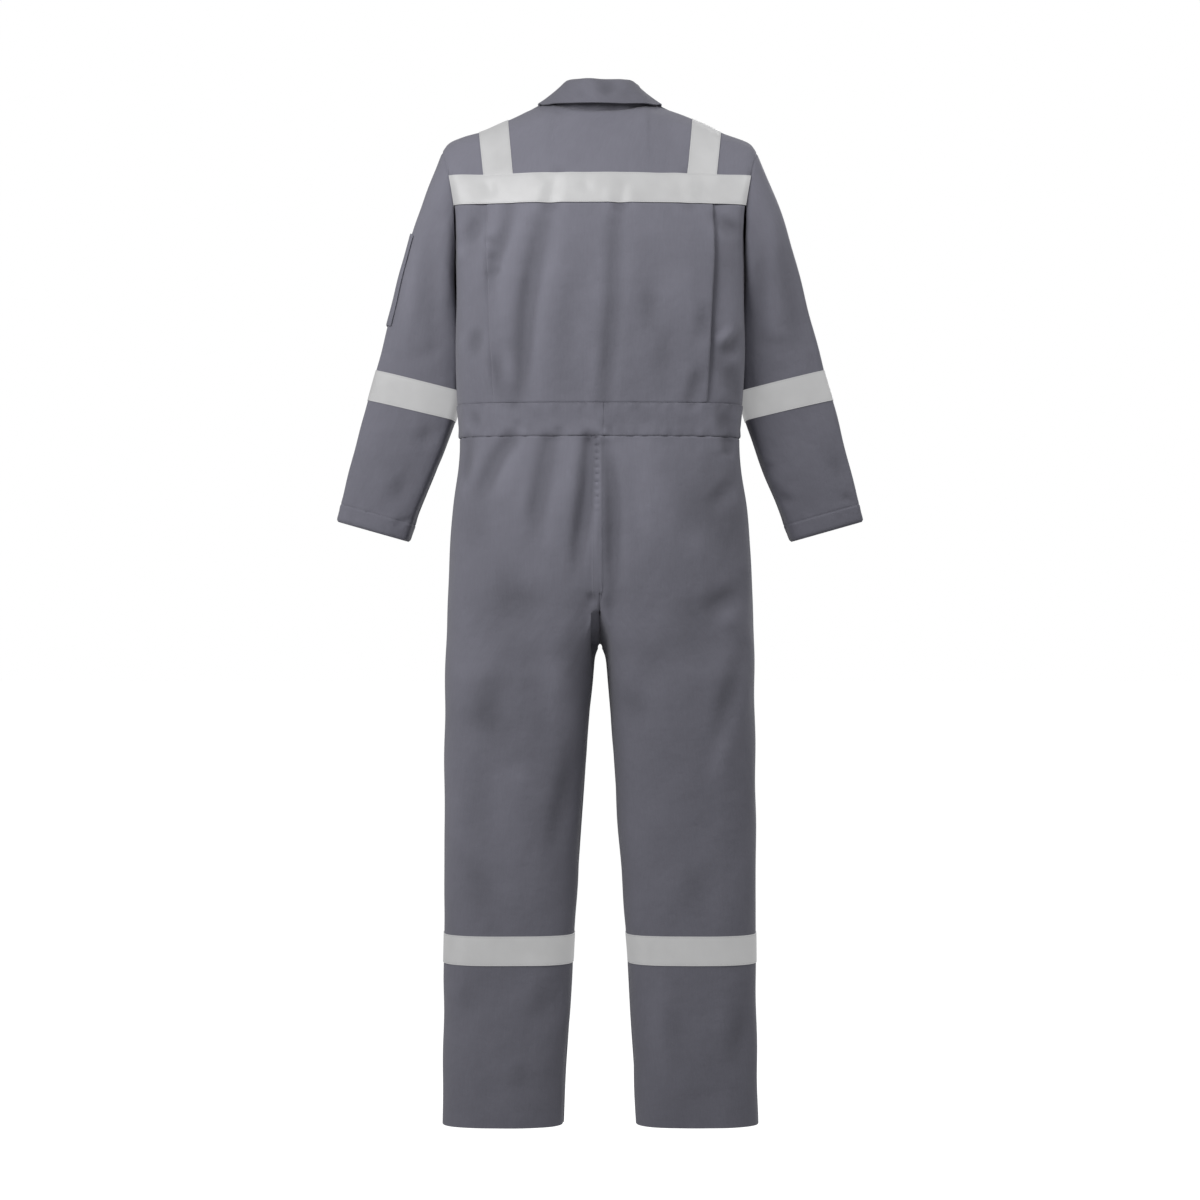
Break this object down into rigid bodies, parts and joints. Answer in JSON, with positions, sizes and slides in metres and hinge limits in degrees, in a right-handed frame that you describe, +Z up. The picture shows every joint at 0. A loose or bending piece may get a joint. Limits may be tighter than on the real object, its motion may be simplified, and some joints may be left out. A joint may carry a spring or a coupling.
{
  "type": "boiler suit",
  "caption": "One-piece work suit with collar, long sleeves, action-back pleats, waistband and reflective tapes; hollow, upright and open at neck, cuffs and hems.",
  "frame": {"origin": "between the shoulders on the centre line, at the height of the shoulder ridge, where a wearer's shoulders hold the suit up", "axes": "+Z up; the suit's front faces -Y and its back +Y; +X is the wearer's left"},
  "size_m": [0.8776, 0.2574, 1.7129],
  "materials": {
    "suit_cloth": "cool mid-grey woven work cloth, matt, with a fine twill",
    "reflective_tape": "pale silver-grey retroreflective tape, satin, with pale edges and stitched down"
  },
  "bodies": {
    "root": {"collar_stand": "suit_cloth", "collar_fall": "suit_cloth", "back_yoke": "suit_cloth", "back_centre": "suit_cloth", "front_placket": "suit_cloth", "back_side_left": "suit_cloth", "back_side_right": "suit_cloth", "front_left": "suit_cloth", "front_right": "suit_cloth", "waistband_back_left": "suit_cloth", "waistband_back_right": "suit_cloth", "waistband_front_left": "suit_cloth", "waistband_front_right": "suit_cloth", "trouser_back_left": "suit_cloth", "trouser_back_right": "suit_cloth", "trouser_front_left": "suit_cloth", "trouser_front_right": "suit_cloth", "sleeve_left": "suit_cloth", "sleeve_right": "suit_cloth", "sleeve_pocket": "suit_cloth", "tape_back": "reflective_tape", "tape_front_left": "reflective_tape", "tape_front_right": "reflective_tape", "tape_shoulder_left": "reflective_tape", "tape_shoulder_right": "reflective_tape", "tape_sleeve_left": "reflective_tape", "tape_sleeve_right": "reflective_tape", "tape_leg_left": "reflective_tape", "tape_leg_right": "reflective_tape"}
  },
  "joints": []
}
